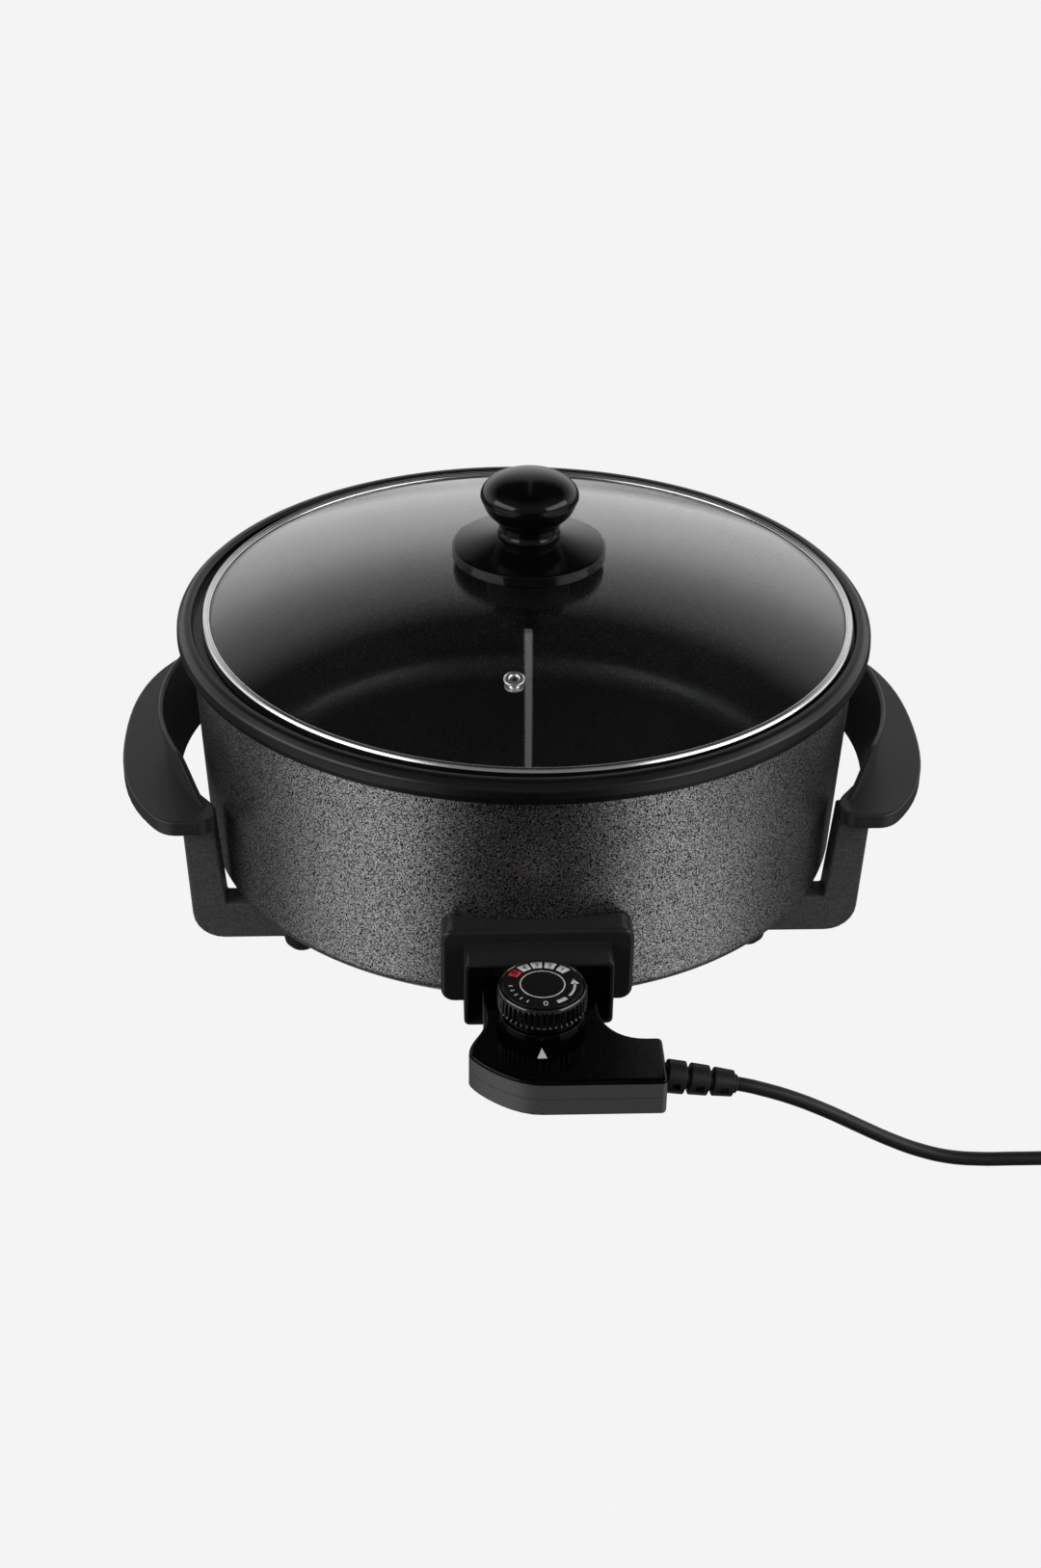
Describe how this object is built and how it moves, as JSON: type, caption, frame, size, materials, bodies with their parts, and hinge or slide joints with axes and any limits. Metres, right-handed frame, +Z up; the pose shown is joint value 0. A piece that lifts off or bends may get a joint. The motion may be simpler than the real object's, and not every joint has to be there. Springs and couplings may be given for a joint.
{
  "type": "electric griddle",
  "caption": "Round cast electric griddle pan on moulded legs, with crescent side handles, a domed glass lid with a knob, and a plug-in dial thermostat on a mains lead.",
  "frame": {"origin": "on the worktop, under the middle of the appliance's box measured without its lead", "axes": "+Z up; -Y towards the controller, which is the front; +X to the right when looking from the front"},
  "size_m": [0.5955, 0.48, 0.256],
  "materials": {
    "cast_coating": "coated cast aluminium: hammered grey-black outside, satin black rim, speckled non-stick inside",
    "element_sheath": "heat darkened steel sheath",
    "nickel_plate": "nickel plated, polished",
    "zinc_steel": "zinc plated",
    "bakelite": "moulded phenolic, fine satin grain",
    "gloss_black": "moulded phenolic, polished",
    "foot_rubber": "matt",
    "cord_rubber": "matt flexible sheath and moulding",
    "tie_plastic": "matt",
    "clear_glass": "clear tempered glass",
    "polished_steel": "polished stainless steel",
    "dial_print": "printed disc, black with white and red marks",
    "brass_contact": "plain",
    "ceramic": "unglazed ceramic block"
  },
  "bodies": {
    "pan": {"pan_body": "cast_coating", "heating_element": "element_sheath", "terminal_pin_left": "nickel_plate", "terminal_pin_right": "nickel_plate", "element_clip_left": "zinc_steel", "element_clip_right": "zinc_steel", "handle_left": "bakelite", "handle_right": "bakelite", "leg_front_left": "bakelite", "leg_front_right": "bakelite", "leg_rear_left": "bakelite", "leg_rear_right": "bakelite", "foot_front_left": "foot_rubber", "foot_front_right": "foot_rubber", "foot_rear_left": "foot_rubber", "foot_rear_right": "foot_rubber", "leg_screw_front_left": "zinc_steel", "leg_screw_front_right": "zinc_steel", "leg_screw_rear_left": "zinc_steel", "leg_screw_rear_right": "zinc_steel", "handle_screw_front_left": "zinc_steel", "handle_screw_front_right": "zinc_steel", "handle_screw_rear_left": "zinc_steel", "handle_screw_rear_right": "zinc_steel", "terminal_shroud": "bakelite", "terminal_bracket": "zinc_steel", "shroud_screw_left": "zinc_steel", "shroud_screw_right": "zinc_steel"},
    "lid": {"lid_glass": "clear_glass", "lid_rim": "polished_steel", "knob_disc": "gloss_black", "lid_knob": "gloss_black", "lid_washer": "bakelite", "knob_bolt": "zinc_steel", "steam_vent": "polished_steel"},
    "controller": {"controller_top": "gloss_black", "controller_bottom": "bakelite", "case_screw_1": "zinc_steel", "case_screw_2": "zinc_steel", "case_screw_3": "zinc_steel", "thermostat_switch": "ceramic", "probe_tube": "zinc_steel", "contact_sleeve_left": "brass_contact", "contact_sleeve_right": "brass_contact", "strain_relief": "cord_rubber", "cord_lead": "cord_rubber", "cord_coil": "cord_rubber", "cord_tie": "tie_plastic", "cord_tail": "cord_rubber", "plug_body": "cord_rubber", "plug_pin_left": "nickel_plate", "plug_pin_right": "nickel_plate"},
    "dial": {"thermostat_dial": "gloss_black", "dial_face": "dial_print", "dial_spindle": "zinc_steel"}
  },
  "joints": [
    {"name": "lid_lift", "type": "slide", "parent": "pan", "child": "lid", "axis": [0, 0, 1], "range_m": [0, 0.2]},
    {"name": "controller_pull", "type": "slide", "parent": "pan", "child": "controller", "axis": [0, -1, 0], "range_m": [0, 0.07]},
    {"name": "dial_turn", "type": "hinge", "parent": "controller", "child": "dial", "pos_m": [0, -0.1885, 0.082], "axis": [0, 0, -1], "range_deg": [0, 240]}
  ]
}
